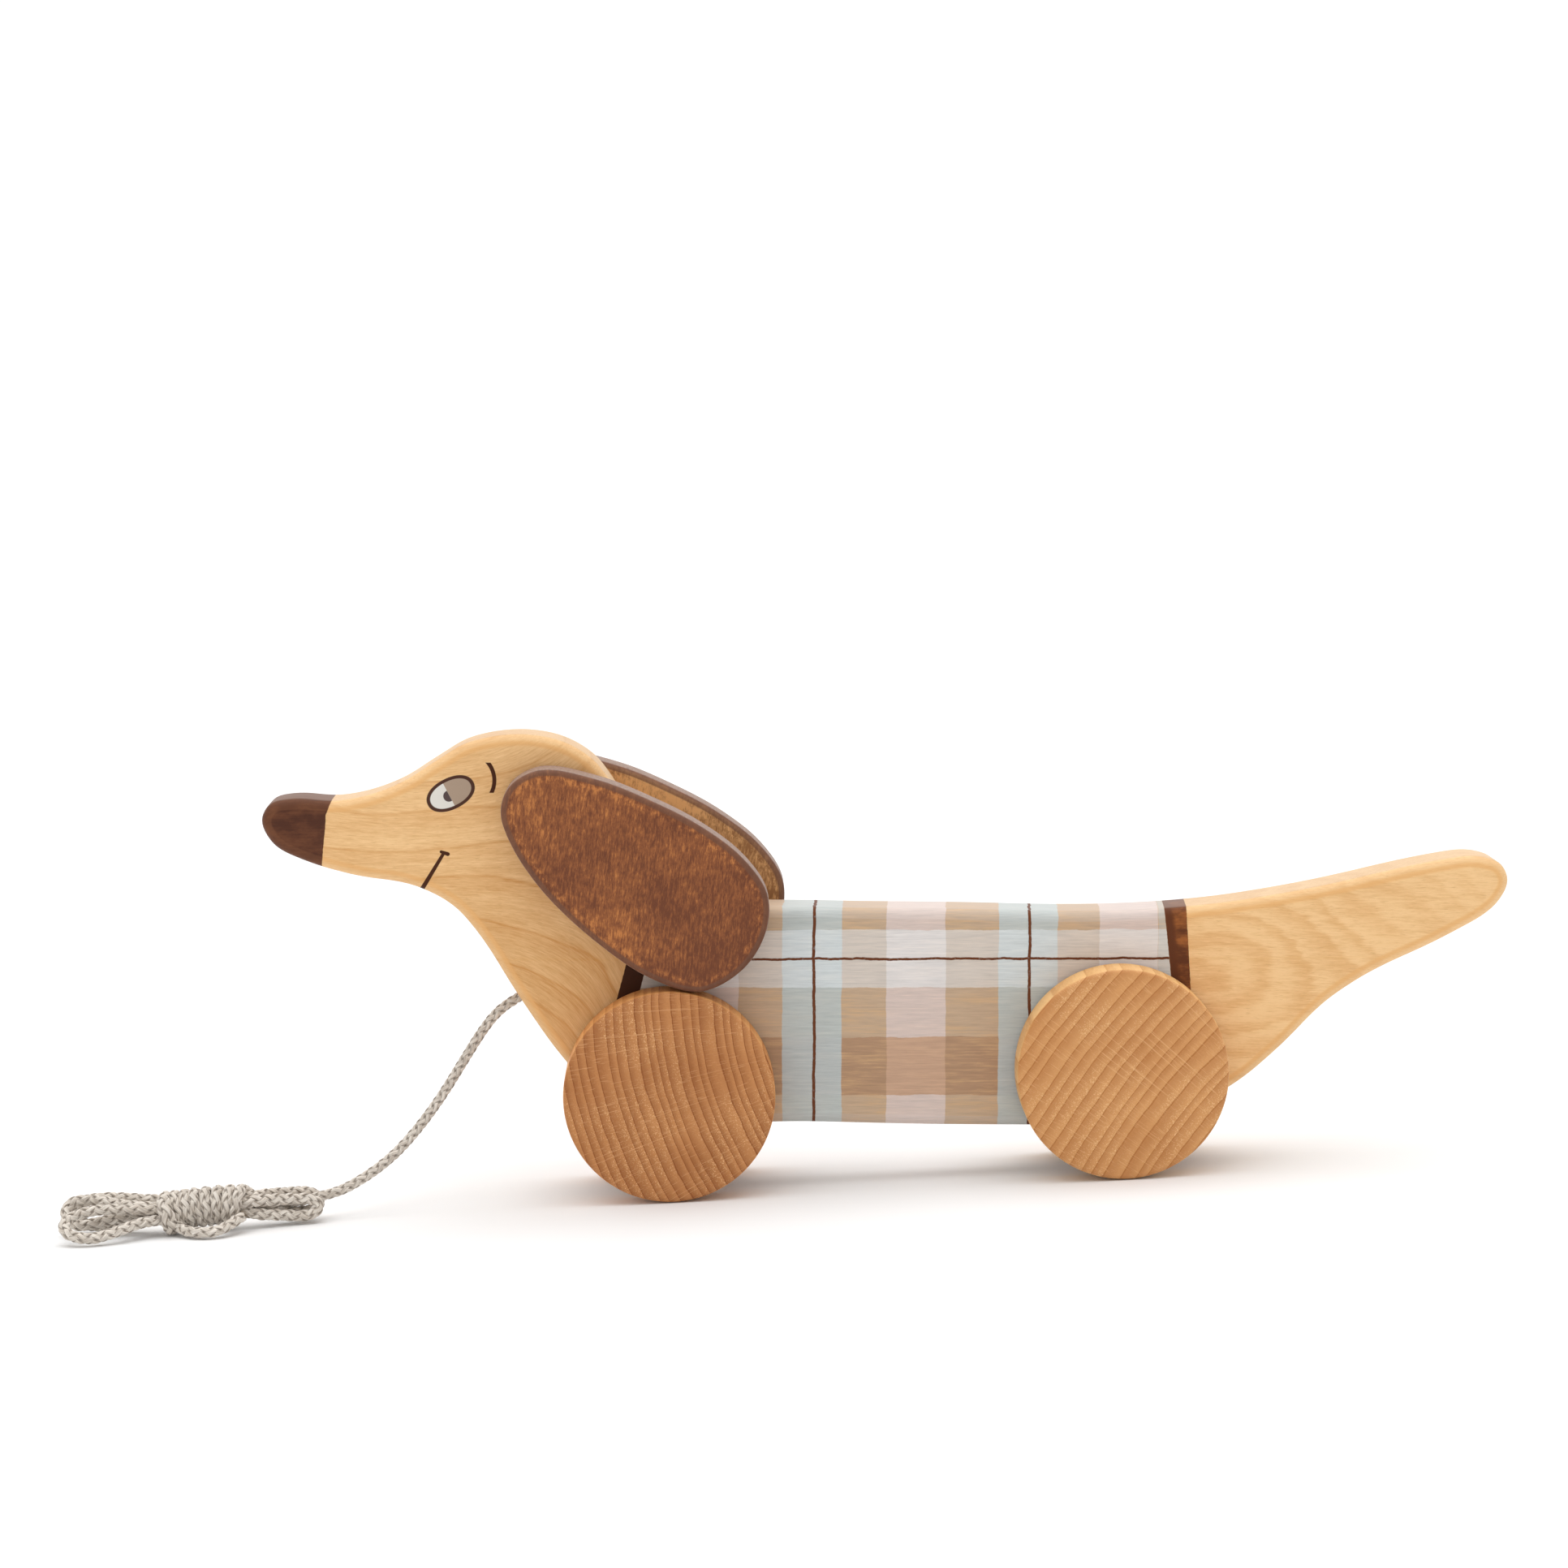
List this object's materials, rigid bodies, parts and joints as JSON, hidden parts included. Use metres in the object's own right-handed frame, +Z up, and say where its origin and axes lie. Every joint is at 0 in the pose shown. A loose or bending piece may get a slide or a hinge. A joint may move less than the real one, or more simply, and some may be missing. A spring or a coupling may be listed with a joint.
{
  "type": "pull along toy",
  "caption": "Wooden dachshund pull along toy: a thick sawn board on rolling disc wheels, with swinging oval ears and a linen pull cord wound into a hank.",
  "frame": {"origin": "on the floor below the middle of the toy, measured without its cord", "axes": "+X towards the tail, +Y towards the dog's right side, +Z up"},
  "size_m": [0.4417, 0.077, 0.1425],
  "materials": {
    "birch": "satin oiled birch with painted coat",
    "stained_wood": "satin, brown stain rubbed in",
    "beech": "satin oiled",
    "dowel_wood": "plain sanded",
    "linen": "matte braided linen"
  },
  "bodies": {
    "board": {"body": "birch", "cord_run": "linen", "cord_hank": "linen"},
    "front_wheels": {"front_axle": "dowel_wood", "wheel_front_left": "beech", "wheel_front_right": "beech"},
    "rear_wheels": {"rear_axle": "dowel_wood", "wheel_rear_left": "beech", "wheel_rear_right": "beech"},
    "ears": {"ear_dowel": "dowel_wood", "ear_left": "stained_wood", "ear_right": "stained_wood"}
  },
  "joints": [
    {"name": "front_wheels_spin", "type": "hinge", "parent": "board", "child": "front_wheels", "pos_m": [-0.06956, 0, 0.032], "axis": [0, 1, 0], "continuous": true},
    {"name": "rear_wheels_spin", "type": "hinge", "parent": "board", "child": "rear_wheels", "pos_m": [0.0676, 0, 0.032], "axis": [0, 1, 0], "continuous": true},
    {"name": "ears_swing", "type": "hinge", "parent": "board", "child": "ears", "pos_m": [-0.10289, 0, 0.11951], "axis": [0, -1, 0], "range_deg": [0, 290]}
  ]
}
